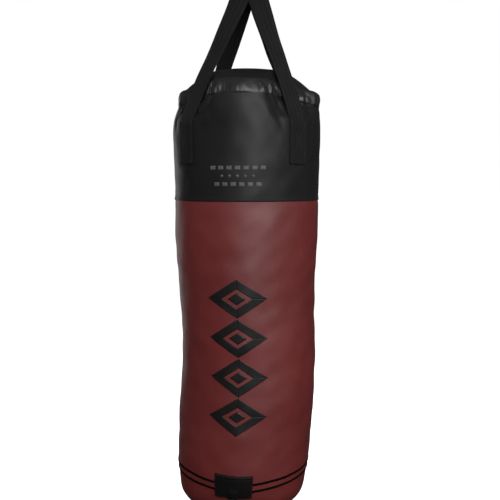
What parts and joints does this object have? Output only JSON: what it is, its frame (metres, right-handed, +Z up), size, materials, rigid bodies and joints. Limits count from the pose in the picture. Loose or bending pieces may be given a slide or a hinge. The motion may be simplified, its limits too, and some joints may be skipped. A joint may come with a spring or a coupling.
{
  "type": "hanging heavy punch bag",
  "caption": "Filled punch bag hung by two webbing straps on a steel D-ring, with a two-colour shell, a zip closure on top and a tether ring at the foot.",
  "frame": {"origin": "middle of the hanging ring's eye, where the ceiling hook goes", "axes": "+Z up along the bag's axis, -Y the front, which carries the marks and the tether tab; +X to the right seen from the front"},
  "size_m": [0.35, 0.35, 1.318],
  "materials": {
    "black_synthetic_leather": "fine grained, satin",
    "burgundy_synthetic_leather": "fine grained, satin",
    "stripe_tape": "matte",
    "black_webbing": "woven, matte",
    "black_thread": "twisted thread",
    "zip_tape": "woven, matte",
    "zip_metal": "dark nickel, satin",
    "ring_steel": "polished, lightly worn",
    "canvas_lining": "plain weave",
    "foam": "closed-cell foam, matte",
    "textile_fill": "packed shredded cloth"
  },
  "bodies": {
    "ring": {"hanging_ring": "ring_steel"},
    "bag": {"upper_shell": "black_synthetic_leather", "lower_shell": "burgundy_synthetic_leather", "base_panel": "burgundy_synthetic_leather", "base_piping": "black_synthetic_leather", "lower_stripe": "stripe_tape", "upper_stripe": "stripe_tape", "top_hem_band": "black_synthetic_leather", "closure_panel_front": "black_synthetic_leather", "closure_panel_rear": "black_synthetic_leather", "zip_tape_front": "zip_tape", "zip_tape_rear": "zip_tape", "zip_teeth_front": "zip_metal", "zip_teeth_rear": "zip_metal", "zip_stops": "zip_metal", "strap_left": "black_webbing", "strap_right": "black_webbing", "strap_bar_tacks": "black_thread", "strap_reinforcing_band": "black_webbing", "tether_tab": "black_synthetic_leather", "tether_loop": "black_webbing", "inner_liner": "canvas_lining", "foam_wall": "foam", "base_foam_disc": "foam", "top_foam_disc": "foam", "textile_fill": "textile_fill"},
    "tether_ring": {"tether_ring": "ring_steel"},
    "zip_slider": {"zip_slider": "zip_metal"},
    "zip_pull": {"zip_pull": "zip_metal"}
  },
  "joints": [
    {"name": "bag_swing", "type": "hinge", "parent": "ring", "child": "bag", "pos_m": [0, 0, -0.025], "axis": [1, 0, 0], "range_deg": [-45, 45]},
    {"name": "tether_ring_hinge", "type": "hinge", "parent": "bag", "child": "tether_ring", "pos_m": [-0.01664, -0.15313, -1.231], "axis": [-0.9942, 0.108, 0], "range_deg": [-20, 110]},
    {"name": "zip_slide", "type": "slide", "parent": "bag", "child": "zip_slider", "axis": [-1, 0, 0], "range_m": [0, 0.132]},
    {"name": "zip_pull_hinge", "type": "hinge", "parent": "zip_slider", "child": "zip_pull", "pos_m": [0.066, 0, -0.2414], "axis": [0, 1, 0], "range_deg": [0, 178]}
  ]
}
